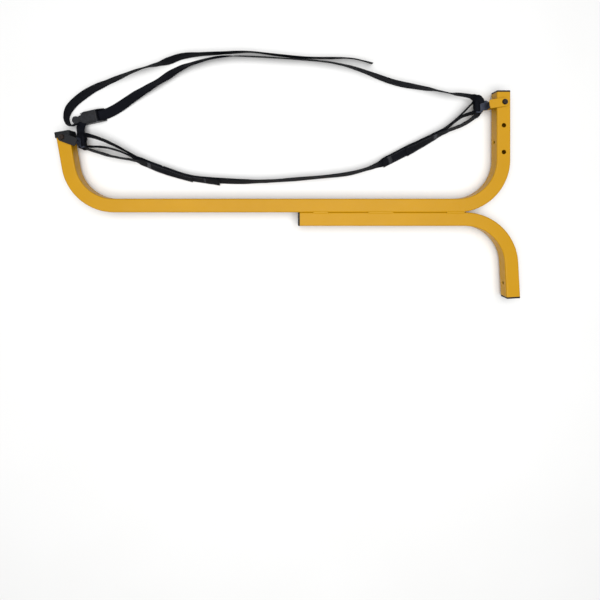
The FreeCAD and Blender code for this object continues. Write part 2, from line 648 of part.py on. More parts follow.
def cam_lever():
    """Cam with a toothed drum on the pin and a thumb lever over the anchor end."""
    body = new_body("lever")
    sketch = new_sketch(body, "lever_side", "XZ_Plane")
    drum, thick, reach = size("cam_drum_r"), size("lever_thick"), size("lever_length")
    knob, tip = size("knob_r"), size("lever_length") + size("knob_r") + 1
    sketch.addGeometry(Part.ArcOfCircle(Part.Circle(V(), UP, drum), -math.pi, math.pi / 2))
    outer = [(0, drum), (-tip, drum), (-tip, drum - thick), (-drum, drum - thick), (-drum, 0)]
    for a, b in zip(outer, outer[1:]):
        sketch.addGeometry(Part.LineSegment(V(*a, 0), V(*b, 0)))
    pad(body, sketch, "lever_pad", "Sizes.cam_width", midplane=True)
    bore = new_sketch(body, "lever_bore", "XZ_Plane")
    circle(bore, 0, 0, "cam_pin_r", " + Sizes.running_gap")
    pocket(body, bore, "lever_drill")

    plan = new_sketch(body, "lever_plan", "XY_Plane")
    half, waist = size("cam_width") / 2, size("lever_waist")
    neck, shoulder = size("lever_neck"), size("lever_shoulder")
    outline(plan, box_outline(-tip - OVERCUT, -half - OVERCUT, drum + OVERCUT, half + OVERCUT))
    lean = math.asin(waist / knob)
    joint = -reach + knob * math.cos(lean)
    side = [(joint, waist), (-neck, waist), (-shoulder, half), (drum + 1, half)]
    ring = side + [(x, -y) for x, y in reversed(side)]
    for a, b in zip(ring, ring[1:]):
        plan.addGeometry(Part.LineSegment(V(*a, 0), V(*b, 0)))
    plan.addGeometry(Part.ArcOfCircle(Part.Circle(V(-reach, 0, 0), UP, knob), lean, 2 * math.pi - lean))
    pocket(body, plan, "lever_trim")

    room = new_sketch(body, "spring_room", "XZ_Plane")
    circle(room, 0, 0, "spring_room_r")
    pocket(body, room, "spring_recess", "Sizes.spring_room")
    body.Placement = buckle_place(size("cam_pin_u"), size("cam_pin_z"))
    subpart(body, "cam_lever")


def cam_spring():
    """Torsion spring round the cam pin, in the lever's recess."""
    wire_r = size("spring_wire") / 2
    coil_r = size("cam_pin_r") + size("spring_gap") + wire_r
    height = size("spring_turns") * size("spring_pitch")
    helix = Part.Wire(Part.makeHelix(size("spring_pitch"), height, coil_r))
    section = Part.Wire(Part.Circle(V(coil_r, 0, 0), V(0, 1, 0), wire_r).toShape())
    pipe = Part.BRepOffsetAPI.MakePipeShell(helix)
    pipe.setBiNormalMode(UP)
    pipe.add(section, False, False)
    pipe.build()
    pipe.makeSolid()
    spring = doc.addObject("Part::Feature", "cam_spring")
    spring.Shape = pipe.shape()
    across = FreeCAD.Rotation(UP, BUCKLE_ANGLE).multiply(FreeCAD.Rotation(V(1, 0, 0), -90))
    middle = V(0, -height / 2, 0)
    seat = buckle_place(size("cam_pin_u"), size("cam_pin_z")).multVec(middle)
    spring.Placement = FreeCAD.Placement(seat, across)
    subpart(spring, "cam_spring")


def buckle_webbing():
    """The stretch of strap that runs flat through the buckle under the cam."""
    body = new_body("threaded_webbing")
    sketch = new_sketch(body, "threaded_outline")
    half, length = size("webbing") / 2, size("buckle_length")
    outline(sketch, box_outline(-length / 2, -half, length / 2, half))
    pad(body, sketch, "threaded_pad", "Sizes.threaded_ply")
    body.Placement = buckle_place(0, size("buckle_lift") + size("buckle_plate") + size("threaded_gap"))
    subpart(body, "strap_in_buckle")


bar_outer, arm_outer = main_bar_and_arm()
weld_beads(bar_outer, arm_outer)
end_plug("right_post_plug", right_end, 90)
end_plug("lower_bar_plug", V(size("arm_start_x"), arm_y, 0), 180)
end_plug("arm_end_plug", arm_end, arm_heading)
rubber_foot_cap()
swivel_bracket("right", right_bolt, right_pin, RIGHT_EARS)
swivel_bracket("left", left_bolt, left_pin, LEFT_EARS)
strap_link("right", right_pin, RIGHT_LINK)
strap_link("left", left_pin, LEFT_LINK)
webbing_loop("right", right_bar, RIGHT_LINK)
webbing_loop("left", left_bar, LEFT_LINK)
for strap_name, route in ROUTES.items():
    webbing_run(strap_name, route)
anchor_strap()
buckle_body()
cross_pin("cam_pin", size("cam_pin_u"), size("cam_pin_z"), "cam_pin_r")
cross_pin("anchor_bar", size("anchor_bar_u"), size("anchor_bar_z"), "anchor_bar_r")
cam_lever()
cam_spring()
buckle_webbing()

# ------------------------------------------------------------------ checks and export
doc.recompute()
for obj in doc.Objects:
    if "Invalid" in obj.State or "Error" in obj.State:
        raise RuntimeError(f"{obj.Label} failed: {obj.State}")
for obj in SUBPARTS:
    if obj.Shape.isNull() or not obj.Shape.isValid() or obj.Shape.Volume <= 0:
        raise RuntimeError(f"{obj.Label} has no valid shape")

os.makedirs("parts", exist_ok=True)
for obj in SUBPARTS:
    obj.Shape.exportStep(f"parts/{obj.Label}.step")
print(len(SUBPARTS), "parts written")
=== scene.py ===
import bpy
import math
import numpy as np
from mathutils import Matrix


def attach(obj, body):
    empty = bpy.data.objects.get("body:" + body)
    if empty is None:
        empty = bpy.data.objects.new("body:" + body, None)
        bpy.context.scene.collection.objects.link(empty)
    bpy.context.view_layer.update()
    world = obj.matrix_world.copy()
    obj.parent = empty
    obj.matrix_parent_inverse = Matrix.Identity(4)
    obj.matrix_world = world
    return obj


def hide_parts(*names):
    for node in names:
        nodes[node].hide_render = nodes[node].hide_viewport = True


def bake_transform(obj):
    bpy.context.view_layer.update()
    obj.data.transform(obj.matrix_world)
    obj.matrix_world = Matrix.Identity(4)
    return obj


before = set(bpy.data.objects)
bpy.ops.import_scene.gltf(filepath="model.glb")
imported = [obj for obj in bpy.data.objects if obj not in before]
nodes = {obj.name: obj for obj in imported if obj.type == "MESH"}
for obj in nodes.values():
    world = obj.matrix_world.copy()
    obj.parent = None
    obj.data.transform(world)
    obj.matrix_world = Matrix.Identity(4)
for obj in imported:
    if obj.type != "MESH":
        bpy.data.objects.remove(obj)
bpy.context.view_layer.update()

# ------------------------------------------------------------------ camera
# It looks straight down from about a metre, over the middle of the long bar,
# with the picture shifted so that the stabilizer lies across its upper half.
camera = bpy.data.objects.new("camera", bpy.data.cameras.new("camera"))
camera.data.lens = 26.6
camera.data.sensor_width = 36.0
camera.data.shift_x, camera.data.shift_y = 0.0178, -0.1717
camera.location = (0.0043, -0.0054, 1.07175)
bpy.context.scene.collection.objects.link(camera)
bpy.context.scene.camera = camera


# ------------------------------------------------------------------ webbing material
# Woven polypropylene webbing, 25 mm wide. The yarns run lengthwise in narrow ribs that
# the crosswise yarns pull down every few millimetres. Its dry, finely barred sheen is painted
# into the colour as painted shade: lighter on the raised yarns and darker in the dips.
def hex_to_linear(code):
    """An sRGB hex colour as linear red, green, blue and alpha."""
    parts = [int(code[i:i + 2], 16) / 255 for i in (0, 2, 4)]
    return tuple(c / 12.92 if c <= 0.04045 else ((c + 0.055) / 1.055) ** 2.4 for c in parts) + (1.0,)


def add_node(finish, kind, inputs=None, **settings):
    """Add a node: settings are its own options, and inputs are values or (node, output) links."""
    node = finish.node_tree.nodes.new(kind)
    for option, value in settings.items():
        setattr(node, option, value)
    for socket, value in (inputs or {}).items():
        if isinstance(value, tuple) and isinstance(value[0], bpy.types.Node):
            finish.node_tree.links.new(value[0].outputs[value[1]], node.inputs[socket])
        else:
            node.inputs[socket].default_value = value
    return node


def new_finish(name):
    finish = bpy.data.materials.new(name)
    finish.use_nodes = True
    return finish, finish.node_tree.nodes["Principled BSDF"]


def join(finish, source, output, target, socket):
    finish.node_tree.links.new(source.outputs[output], target.inputs[socket])


RIB = 0.0026       # width of one lengthwise rib; the real ones are near 1.3 mm, drawn coarse to show
PICK = 0.0034      # spacing of the crosswise yarns, drawn coarse for the same reason
FUZZ = 0.0012      # loose fibres, which dull the ribs
WEAR = 0.030       # patches rubbed a little paler
woven, woven_shader = new_finish("woven_polypropylene_webbing")
woven_place = add_node(woven, "ShaderNodeUVMap", uv_map="weave")
woven_split = add_node(woven, "ShaderNodeSeparateXYZ", {"Vector": (woven_place, "UV")})
rib_phase = add_node(woven, "ShaderNodeMath", {0: (woven_split, "Y"), 1: math.tau / RIB},
                     operation="MULTIPLY")
rib = add_node(woven, "ShaderNodeMath", {0: (rib_phase, 0)}, operation="COSINE")
pick_phase = add_node(woven, "ShaderNodeMath", {0: (woven_split, "X"), 1: math.tau / PICK},
                      operation="MULTIPLY")
half_step = add_node(woven, "ShaderNodeMath", {0: (rib_phase, 0), 1: 0.5, 2: (pick_phase, 0)},
                     operation="MULTIPLY_ADD")
pick = add_node(woven, "ShaderNodeMath", {0: (half_step, 0)}, operation="SINE")
relief = add_node(woven, "ShaderNodeMath", {0: (pick, 0), 1: 0.55, 2: (rib, 0)}, operation="MULTIPLY_ADD")
fuzz_place = add_node(woven, "ShaderNodeTexCoord")
fuzz = add_node(woven, "ShaderNodeTexNoise", {"Vector": (fuzz_place, "Object"), "Scale": 1 / FUZZ,
                                              "Detail": 3.0})
fuzzed = add_node(woven, "ShaderNodeMath", {0: (fuzz, "Fac"), 1: 0.8, 2: (relief, 0)},
                  operation="MULTIPLY_ADD")
woven_bump = add_node(woven, "ShaderNodeBump", {"Height": (fuzzed, 0), "Strength": 0.75, "Distance": 0.0004})
wear = add_node(woven, "ShaderNodeTexNoise", {"Vector": (fuzz_place, "Object"), "Scale": 1 / WEAR,
                                              "Detail": 4.0})
# Painted shade and sheen: the colour is lighter on the raised yarns and darker in the dips, and paler in the
# rubbed patches.
weave_painted_shade = add_node(woven, "ShaderNodeMapRange", {"Value": (relief, 0), "From Min": -1.5, "From Max": 1.5})
wear_and_weave_shade = add_node(woven, "ShaderNodeMath", {0: (wear, "Fac"), 1: (weave_painted_shade, "Result")},
                    operation="MULTIPLY")
yarn_colour_and_weave_shade = add_node(woven, "ShaderNodeMix", {"Factor": (wear_and_weave_shade, 0), "A": hex_to_linear("040509"),
                                                "B": hex_to_linear("181B26")}, data_type="RGBA")
join(woven, yarn_colour_and_weave_shade, "Result", woven_shader, "Base Color")
join(woven, woven_bump, "Normal", woven_shader, "Normal")
woven_shader.inputs["Roughness"].default_value = 0.68
woven_shader.inputs["Specular IOR Level"].default_value = 0.1


# ------------------------------------------------------------------ webbing strap
# One long black strap goes from bracket to bracket, on its edge or leaning, and turns flat
# where it enters the cam buckle. Its returned ends are sewn on to it in two thick bands.
WIDTH, PLY = 0.025, 0.0018
PLY_STEP = PLY + 0.0002       # sewn plies lie a hair apart
WOBBLE, WOBBLE_LENGTH = math.radians(1.6), 0.021      # how far a strap on its edge rocks, and how often
NEXT_STATION = 1e-6           # keeps two stations of a route from falling together
UP = np.array((0.0, 0.0, 1.0))


def spline_line(points):
    """The smooth line that a route's points control."""
    data = bpy.data.curves.new("route", "CURVE")
    data.dimensions = "3D"
    data.resolution_u = 12
    spline = data.splines.new("NURBS")
    spline.points.add(len(points) - 1)
    for control, place in zip(spline.points, points):
        control.co = (*place, 1.0)
    spline.order_u = 3
    spline.use_endpoint_u = True
    holder = bpy.data.objects.new("route", data)
    mesh = bpy.data.meshes.new_from_object(holder)
    line = np.array([v.co for v in mesh.vertices])
    bpy.data.objects.remove(holder)
    bpy.data.curves.remove(data)
    bpy.data.meshes.remove(mesh)
    apart = np.linalg.norm(np.diff(line, axis=0), axis=1) > 1e-5
    return line[np.concatenate(([True], apart))]


def eased(where, stations, values):
    """Values given at stations, with an easy change from each to the next."""
    whole = np.interp(where, stations, np.arange(len(stations)))
    low = np.clip(np.floor(whole).astype(int), 0, len(stations) - 2)
    part = whole - low
    part = part * part * (3 - 2 * part)
    values = np.array(values, float)
    return values[low] * (1 - part) + values[low + 1] * part


def ahead_and_along(line):
    """The way a line goes at each of its points, and its length so far."""
    ahead = np.gradient(line, axis=0)
    ahead /= np.linalg.norm(ahead, axis=1)[:, None]
    steps = np.linalg.norm(np.diff(line, axis=0), axis=1)
    return ahead, np.concatenate(([0.0], np.cumsum(steps)))


def run_from(line, across):
    """A run of webbing: its middle line, the way across it, out of it, and the length so far."""
    ahead, along = ahead_and_along(line)
    return {"line": line, "across": across, "out": np.cross(ahead, across), "along": along}


def webbing_run(route, ply=0):
    """A run along a route of (x, y, z, lean): 0 stands on edge, 90 lies flat. A sewn-on ply lies
    ply thicknesses out from the route's own line, or as many as a stop's fifth number says."""
    line = spline_line([stop[:3] for stop in route])
    ahead, along = ahead_and_along(line)
    nearest = [np.argmin(np.linalg.norm(line - np.array(stop[:3]), axis=1)) for stop in route]
    stations = along[np.maximum.accumulate(nearest)] + np.arange(len(route)) * NEXT_STATION
    lean = np.radians(eased(along, stations, [stop[3] for stop in route]))
    lean += WOBBLE * np.sin(along / WOBBLE_LENGTH) * np.cos(lean)
    side = np.cross(ahead, UP)
    side /= np.linalg.norm(side, axis=1)[:, None]
    rise = np.cross(side, ahead)
    across = np.cos(lean)[:, None] * rise + np.sin(lean)[:, None] * side
    shift = eased(along, stations, [stop[4] if len(stop) > 4 else ply for stop in route])
    return run_from(line + np.cross(ahead, across) * (shift * PLY_STEP)[:, None], across)


def part_of(run, low=None, high=None):
    """The stretch of a run between two places on X, or to its end where one isn't given."""
    x = run["line"][:, 0]
    keep = (x >= (x.min() if low is None else low)) & (x <= (x.max() if high is None else high))
    first, last = np.flatnonzero(keep)[[0, -1]]
    return {key: value[first:last + 1] for key, value in run.items()}


def cut_at(run, x):
    """A run with a ring exactly at x, wherever it crosses it, so that two pieces can meet there."""
    line = run["line"]
    crossing = np.flatnonzero((line[:-1, 0] - x) * (line[1:, 0] - x) < 0)
    for i in crossing[::-1]:
        share = (x - line[i, 0]) / (line[i + 1, 0] - line[i, 0])
        run = {key: np.insert(value, i + 1, value[i] * (1 - share) + value[i + 1] * share, axis=0)
               for key, value in run.items()}
    return run


def selvedge():
    """The webbing's section: a flat face with a slightly fuller woven edge, all round."""
    half = WIDTH / 2
    edge = [(half / 3, 0.88), (half - 0.0030, 0.9), (half - 0.0014, 1.0), (half - 0.0004, 0.75), (half, 0.35)]
    top = [(-v, t) for v, t in reversed(edge)] + edge
    return [(v, t * PLY / 2) for v, t in top] + [(v, -t * PLY / 2) for v, t in reversed(top)]


def finish_mesh(name, verts, faces, material, uvs=None):
    """A piece from its points and faces; its sides are smooth and its many-sided end caps flat."""
    mesh = bpy.data.meshes.new(name)
    mesh.from_pydata([tuple(v) for v in verts], [], faces)
    if uvs is not None:
        layer = mesh.uv_layers.new(name="weave")
        for loop in mesh.loops:
            layer.data[loop.index].uv = uvs[loop.vertex_index]
    mesh.polygons.foreach_set("use_smooth", [len(face) < 5 for face in faces])
    mesh.validate()
    mesh.materials.append(material)
    piece = bpy.data.objects.new(name, mesh)
    bpy.context.scene.collection.objects.link(piece)
    return piece


def webbing(name, *runs):
    """One mesh of closed webbing strips along the runs."""
    section = selvedge()
    count = len(section)
    verts, faces, uvs = [], [], []
    for run in runs:
        base = len(verts)
        rings = len(run["line"])
        for place, across, out, along in zip(run["line"], run["across"], run["out"], run["along"]):
            for v, t in section:
                verts.append(place + across * v + out * t)
                uvs.append((along, v))
        for r in range(rings - 1):
            for k in range(count):
                a, b = base + r * count + k, base + r * count + (k + 1) % count
                faces.append((a, b, b + count, a + count))
        faces.append(tuple(base + k for k in reversed(range(count))))
        faces.append(tuple(base + (rings - 1) * count + k for k in range(count)))
    return finish_mesh(name, verts, faces, woven, uvs)


# Places on X along the strap: by the link, by the bracket's ear, and past which it lies still.
# Only the ear's place is used, to cut each end of the strap from its still part.
RIGHT_LINK_X, RIGHT_EAR_X, RIGHT_STILL_X = 0.443, 0.402, 0.300
LEFT_LINK_X, LEFT_EAR_X, LEFT_STILL_X = -0.474, -0.440, -0.350

main_run = webbing_run([
    (0.4530, 0.2140, 0.0262, 80), (0.4500, 0.2240, 0.0245, 45), (0.4430, 0.2298, 0.0225, 15),
    (0.4340, 0.2340, 0.0200, 3), (0.408, 0.2390, 0.0160, 1), (0.385, 0.2425, 0.0142, -12),
    (0.360, 0.248, 0.0142, -9), (0.330, 0.253, 0.0142, 5), (0.269, 0.264, 0.0138, 14),
    (0.235, 0.274, 0.0138, 13), (0.174, 0.298, 0.0142, -2), (0.126, 0.312, 0.0142, -8),
    (0.074, 0.320, 0.0140, -12), (-0.017, 0.326, 0.0140, -12), (-0.112, 0.3315, 0.0140, -14),
    (-0.169, 0.330, 0.0130, -28), (-0.227, 0.3145, 0.0118, -36), (-0.260, 0.302, 0.0092, -50),
    (-0.284, 0.288, 0.0070, -62), (-0.312, 0.2695, 0.0085, -54), (-0.341, 0.253, 0.0066, -65),
    (-0.372, 0.235, 0.0040, -78), (-0.408, 0.209, 0.0028, -90), (-0.438, 0.1935, 0.0036, -90),
    (-0.467, 0.1870, 0.0036, -90), (-0.4935, 0.1811, 0.0036, -90)])
tail_run = webbing_run([
    (-0.4935, 0.1811, 0.0036, -90), (-0.5010, 0.1760, 0.0052, -78), (-0.5110, 0.1660, 0.0115, -32),
    (-0.5210, 0.1635, 0.0145, -6), (-0.5295, 0.184, 0.0145, -6), (-0.519, 0.212, 0.0134, -20),
    (-0.484, 0.241, 0.0130, -24), (-0.455, 0.2575, 0.0134, -19), (-0.420, 0.272, 0.0142, -6),
    (-0.370, 0.294, 0.0142, 9), (-0.341, 0.304, 0.0140, 13), (-0.312, 0.310, 0.0142, -1),
    (-0.284, 0.319, 0.0134, -20), (-0.252, 0.332, 0.0138, -13), (-0.198, 0.336, 0.0142, -2),
    (-0.141, 0.339, 0.0142, 6), (-0.090, 0.342, 0.0140, 10), (-0.040, 0.335, 0.0140, 8),
    (0.031, 0.327, 0.0142, 7), (0.100, 0.326, 0.0140, 8), (0.145, 0.3265, 0.0138, 14),
    (0.174, 0.322, 0.0138, 14), (0.203, 0.313, 0.0140, 10)])

# All the plies of a sewn band share its stops, and part again towards the link.
LEFT_BAND = [(-0.345, 0.080, 0.0115, -33), (-0.298, 0.0604, 0.0112, -39), (-0.241, 0.0425, 0.0122, -30),
             (-0.200, 0.036, 0.0122, -31)]
RIGHT_BAND = [(0.236, 0.0805, 0.0092, -56), (0.289, 0.108, 0.0080, -59), (0.317, 0.1227, 0.0100, -45),
              (0.346, 0.1385, 0.0116, -33), (0.360, 0.147, 0.0122, -25)]
lower_run = webbing_run([
    (-0.4870, 0.1310, 0.0262, -80), (-0.4830, 0.1385, 0.0245, -45), (-0.4770, 0.1420, 0.0235, -20),
    (-0.458, 0.1372, 0.0215, -19), (-0.434, 0.1285, 0.0190, -18), (-0.410, 0.1172, 0.0165, -15),
    (-0.386, 0.1045, 0.0150, -12), (-0.362, 0.090, 0.0140, -18), *LEFT_BAND,
    (-0.150, 0.033, 0.0124, -28), (-0.110, 0.0312, 0.0126, -26), (-0.060, 0.0318, 0.0134, -16),
    (-0.026, 0.0333, 0.0140, -12), (0.030, 0.0378, 0.0138, -18), (0.095, 0.0435, 0.0140, -13),
    (0.150, 0.050, 0.0136, -19), (0.188, 0.0608, 0.0136, -18), (0.210, 0.069, 0.0128, -26), *RIGHT_BAND,
    (0.374, 0.1555, 0.0130, -18), (0.389, 0.168, 0.0138, -16), (0.406, 0.183, 0.0160, -16),
    (0.420, 0.1975, 0.0190, -16), (0.434, 0.2125, 0.0215, -15), (0.4405, 0.2205, 0.0230, -20),
    (0.4470, 0.2205, 0.0245, -50), (0.4520, 0.2150, 0.0258, -80)])
left_return = webbing_run([
    (-0.4870, 0.1250, 0.0215, -80, 0), (-0.4830, 0.1180, 0.0215, -45, 0), (-0.4770, 0.1140, 0.0215, -8, 0),
    (-0.458, 0.1140, 0.0200, -5, 0), (-0.434, 0.1135, 0.0185, -7, 0.2), (-0.411, 0.1085, 0.0165, -7, 0.5),
    (-0.387, 0.1005, 0.0150, -8, 0.8), (-0.363, 0.0885, 0.0140, -16, 1), *LEFT_BAND,
    (-0.182, 0.0343, 0.0124, -30, 1.5), (-0.162, 0.0334, 0.0126, -29, 2.7)], ply=1)
left_anchor_return = webbing_run([
    (-0.4890, 0.1210, 0.0190, -80, 0), (-0.4840, 0.1140, 0.0195, -45, 0), (-0.4770, 0.1095, 0.0195, -16, 0),
    (-0.458, 0.1030, 0.0185, -16, 0), (-0.434, 0.0960, 0.0170, -16, 0.2), (-0.411, 0.0915, 0.0155, -8, 0.8),
    (-0.387, 0.0880, 0.0145, -6, 1.2), (-0.364, 0.0852, 0.0140, -12, 1.6), *LEFT_BAND[:2],
    (-0.2255, 0.0395, 0.0122, -31)], ply=2)
right_return = webbing_run([
    (0.2270, 0.0765, 0.0098, -52, 1.6), *RIGHT_BAND, (0.374, 0.1555, 0.0130, -18, 1),
    (0.389, 0.1678, 0.0138, -15, 1), (0.406, 0.1822, 0.0158, -14, 0.8), (0.420, 0.1895, 0.0175, -12, 0.3),
    (0.434, 0.1925, 0.0190, -12, 0), (0.4415, 0.1955, 0.0200, -20, 0), (0.4480, 0.1990, 0.0212, -50, 0),
    (0.4520, 0.2040, 0.0215, -80, 0)], ply=1)
right_upper_return = webbing_run([
    (0.2820, 0.1045, 0.0082, -59, 2.5), *RIGHT_BAND[1:], (0.374, 0.1530, 0.0128, -18, 2),
    (0.392, 0.1585, 0.0136, -14, 1), (0.406, 0.1625, 0.0145, -16, 0.5), (0.421, 0.1682, 0.0155, -21, 0),
    (0.435, 0.177, 0.0170, -24, 0), (0.444, 0.1845, 0.0182, -28, 0), (0.4525, 0.1935, 0.0195, -50, 0),
    (0.4530, 0.2020, 0.0200, -80, 0)], ply=2)


def split(run, right=False, left=False):
    """The still part of a run and the parts near the links."""
    low, high = run["line"][:, 0].min(), run["line"][:, 0].max()
    parts = {}
    if right:
        run = cut_at(run, RIGHT_EAR_X)
        parts["right"] = part_of(run, RIGHT_EAR_X, high)
        high = RIGHT_EAR_X
    if left:
        run = cut_at(run, LEFT_EAR_X)
        parts["left"] = part_of(run, low, LEFT_EAR_X)
        low = LEFT_EAR_X
    parts["still"] = part_of(run, low, high)
    return parts


main_parts = split(main_run, right=True)
LOWER_SEAM_X = -0.300     # the two pieces of the lower strap meet here, inside the left band
lower_parts = split(cut_at(lower_run, LOWER_SEAM_X), right=True, left=True)
lower_left = part_of(lower_parts["still"], high=LOWER_SEAM_X)
lower_rest = part_of(lower_parts["still"], low=LOWER_SEAM_X)
left_return_parts = split(left_return, left=True)
left_anchor_parts = split(left_anchor_return, left=True)
right_return_parts = split(right_return, right=True)
right_upper_parts = split(right_upper_return, right=True)

main_strap = webbing("main_strap", main_parts["still"])
strap_tail = webbing("strap_tail_end", tail_run)
lower_strap = webbing("lower_strap", lower_rest)
lower_strap_left = webbing("lower_strap_left", lower_left)
left_sewn_plies = webbing("left_sewn_plies", left_return_parts["still"], left_anchor_parts["still"])
right_sewn_plies = webbing("right_sewn_plies", right_return_parts["still"], right_upper_parts["still"])


# The folds of webbing round the bar of each steel link, with the first stretch of every strand.
def bar_fold(bar, angle, half_high, half_long, tail):
    """Webbing that goes over the link's bar and back under it. It turns on the side towards the
    pin: angle is the way from the pin to the bar, in degrees. The turn is half_high above and
    below the bar's middle and reaches half_long past it, and both ends are tail long."""
    ahead = np.array((math.cos(math.radians(angle)), math.sin(math.radians(angle)), 0.0))
    turn = np.linspace(0, math.pi, 17)
    steps = [(tail, half_high)] + [(-half_long * math.sin(a), half_high * math.cos(a)) for a in turn]
    steps.append((tail, -half_high))
    line = np.array([np.array(bar) + ahead * a + UP * z for a, z in steps])
    across = np.tile(np.cross(UP, ahead), (len(line), 1))
    return run_from(line, across)


RIGHT_BAR, RIGHT_TURN = (0.44576, 0.20952, 0.023875), 183.2      # the bar's middle, and its angle
LEFT_BAR, LEFT_TURN = (-0.48147, 0.12778, 0.023875), 8.0
right_strap_ends = webbing(
    "right_strap_ends", main_parts["right"], lower_parts["right"], right_return_parts["right"],
    right_upper_parts["right"], bar_fold(RIGHT_BAR, RIGHT_TURN, 0.0026, 0.0036, 0.005),
    bar_fold(RIGHT_BAR, RIGHT_TURN, 0.0045, 0.0058, 0.005),
    bar_fold(RIGHT_BAR, RIGHT_TURN, 0.0052, 0.0080, 0.003))
left_strap_ends = webbing(
    "left_strap_ends", lower_parts["left"], left_return_parts["left"], left_anchor_parts["left"],
    bar_fold(LEFT_BAR, LEFT_TURN, 0.0026, 0.0036, 0.004),
    bar_fold(LEFT_BAR, LEFT_TURN, 0.0045, 0.0055, 0.004))

# A short length ties the buckle's bar to the left link, lying nearly flat and tilted.
anchor_run = webbing_run([
    (-0.4900, 0.1370, 0.0180, 72), (-0.4925, 0.1500, 0.0165, 66), (-0.4940, 0.1640, 0.0115, 76),
    (-0.4920, 0.1760, 0.0102, 88), (-0.4914, 0.1830, 0.0102, 90)])
anchor_piece = webbing("buckle_anchor_strap", anchor_run)

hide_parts("upper_run", "strap_in_buckle")
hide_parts("strap_tail")
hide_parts("lower_run")
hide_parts("left_return_ply", "left_anchor_ply")
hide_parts("right_return_ply", "right_upper_ply")
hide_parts("right_webbing_loop")
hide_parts("left_webbing_loop")
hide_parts("anchor_strap")


# ------------------------------------------------------------------ stitching
# Bonded polyester thread, a little glossier than the webbing: two rows of lockstitch along
# each sewn band and a dense bar tack across it at both ends.
def grained(name, dark, light, grain, detail, roughness, relief=None, specular=None, metallic=0.0):
    """A finish that wanders from dark to light in grains of one size, which also stand up by
    relief, a bump's strength and distance."""
    finish, shader = new_finish(name)
    place = add_node(finish, "ShaderNodeTexCoord")
    noise = add_node(finish, "ShaderNodeTexNoise", {"Vector": (place, "Object"), "Scale": 1 / grain,
                                                    "Detail": detail})
    colour = add_node(finish, "ShaderNodeMix", {"Factor": (noise, "Fac"), "A": hex_to_linear(dark),
                                                "B": hex_to_linear(light)}, data_type="RGBA")
    join(finish, colour, "Result", shader, "Base Color")
    if relief:
        bump = add_node(finish, "ShaderNodeBump", {"Height": (noise, "Fac"), "Strength": relief[0],
                                                   "Distance": relief[1]})
        join(finish, bump, "Normal", shader, "Normal")
    shader.inputs["Roughness"].default_value = roughness
    shader.inputs["Metallic"].default_value = metallic
    if specular is not None:
        shader.inputs["Specular IOR Level"].default_value = specular
    return finish


# Grains of 0.8 mm stand for the thread's twist, which breaks up its shine.
thread = grained("bonded_polyester_thread", "121317", "3A3D46", 0.0008, 2.0, 0.42, (0.4, 0.0002))

THREAD_R, SIDES = 0.00042, 6
STITCH, STITCH_PITCH = 0.0034, 0.0046      # one stitch, and from one to the next
ROWS = (-0.0085, 0.0085)                   # distances of the long rows from the band's middle
TACK, TACK_ROWS, TACK_SPACING, TACK_STAGGER = 0.0110, 15, 0.0014, 0.0010
# How thick a stitch is, at shares of its length, against the thread.
STITCH_TAPER = ((0.0, 0.35), (0.2, 0.95), (0.5, 1.1), (0.8, 0.95), (1.0, 0.35))


def stitches(name, run, third, tacks):
    """Stitches on both faces of a band, which is two plies thick and three between the distances
    in third: long rows from one bar tack to the other, and the bar tacks."""
    verts, faces = [], []

    def lay(a, b, out):
        base = len(verts)
        way = (b - a) / np.linalg.norm(b - a)
        beside = np.cross(out, way)
        for share, size in STITCH_TAPER:
            middle = a + (b - a) * share + out * THREAD_R * (1.2 * math.sin(math.pi * share) - 0.5)
            for k in range(SIDES):
                turn = math.tau * k / SIDES
                verts.append(middle + (beside * math.cos(turn) + out * math.sin(turn)) * THREAD_R * size)
        last = SIDES * (len(STITCH_TAPER) - 1)
        for ring in range(0, last, SIDES):
            for k in range(SIDES):
                c, d = base + ring + k, base + ring + (k + 1) % SIDES
                faces.append((c, d, d + SIDES, c + SIDES))
        faces.append(tuple(base + k for k in reversed(range(SIDES))))
        faces.append(tuple(base + last + k for k in range(SIDES)))

    def at(distance):
        return [np.array([np.interp(distance, run["along"], run[key][:, i]) for i in range(3)])
                for key in ("line", "across", "out")]

    def lift_at(distance, face):
        plies_above = 0 if face < 0 else 2 if third[0] < distance < third[1] else 1
        return PLY / 2 + PLY_STEP * plies_above

    low, high = tacks
    for face in (1, -1):
        for row in ROWS:
            for start in np.arange(low, high - STITCH_PITCH, STITCH_PITCH):
                lift = lift_at(start, face)
                (p, w, n), (q, v, m) = at(start), at(start + STITCH)
                lay(p + w * row + n * face * lift, q + v * row + m * face * lift, n * face)
        for tack in tacks:
            lift = lift_at(tack, face)
            for k in range(TACK_ROWS):
                stagger = TACK_STAGGER * (k % 2)
                p, w, n = at(tack + stagger)
                q, v, m = at(tack + TACK + stagger)
                row = (k - (TACK_ROWS - 1) / 2) * TACK_SPACING
                lay(p + w * row + n * face * lift, q + v * row + m * face * lift, n * face)
    return finish_mesh(name, verts, faces, thread)


def distance_at(run, x):
    """How far along a run it passes a place on X."""
    return float(run["along"][np.argmin(abs(run["line"][:, 0] - x))])


left_stitches = stitches("left_band_stitches", lower_run, (0, distance_at(lower_run, -0.2285)),
                         (distance_at(lower_run, -0.335), distance_at(lower_run, -0.200)))
right_stitches = stitches("right_band_stitches", lower_run, (distance_at(lower_run, 0.2835), math.inf),
                          (distance_at(lower_run, 0.240), distance_at(lower_run, 0.345)))

for piece in (main_strap, lower_strap, right_sewn_plies, right_stitches):
    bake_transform(piece)
for piece in (lower_strap_left, left_sewn_plies, left_stitches):
    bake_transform(piece)
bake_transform(right_strap_ends)
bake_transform(left_strap_ends)
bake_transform(anchor_piece)
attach(strap_tail, "frame")


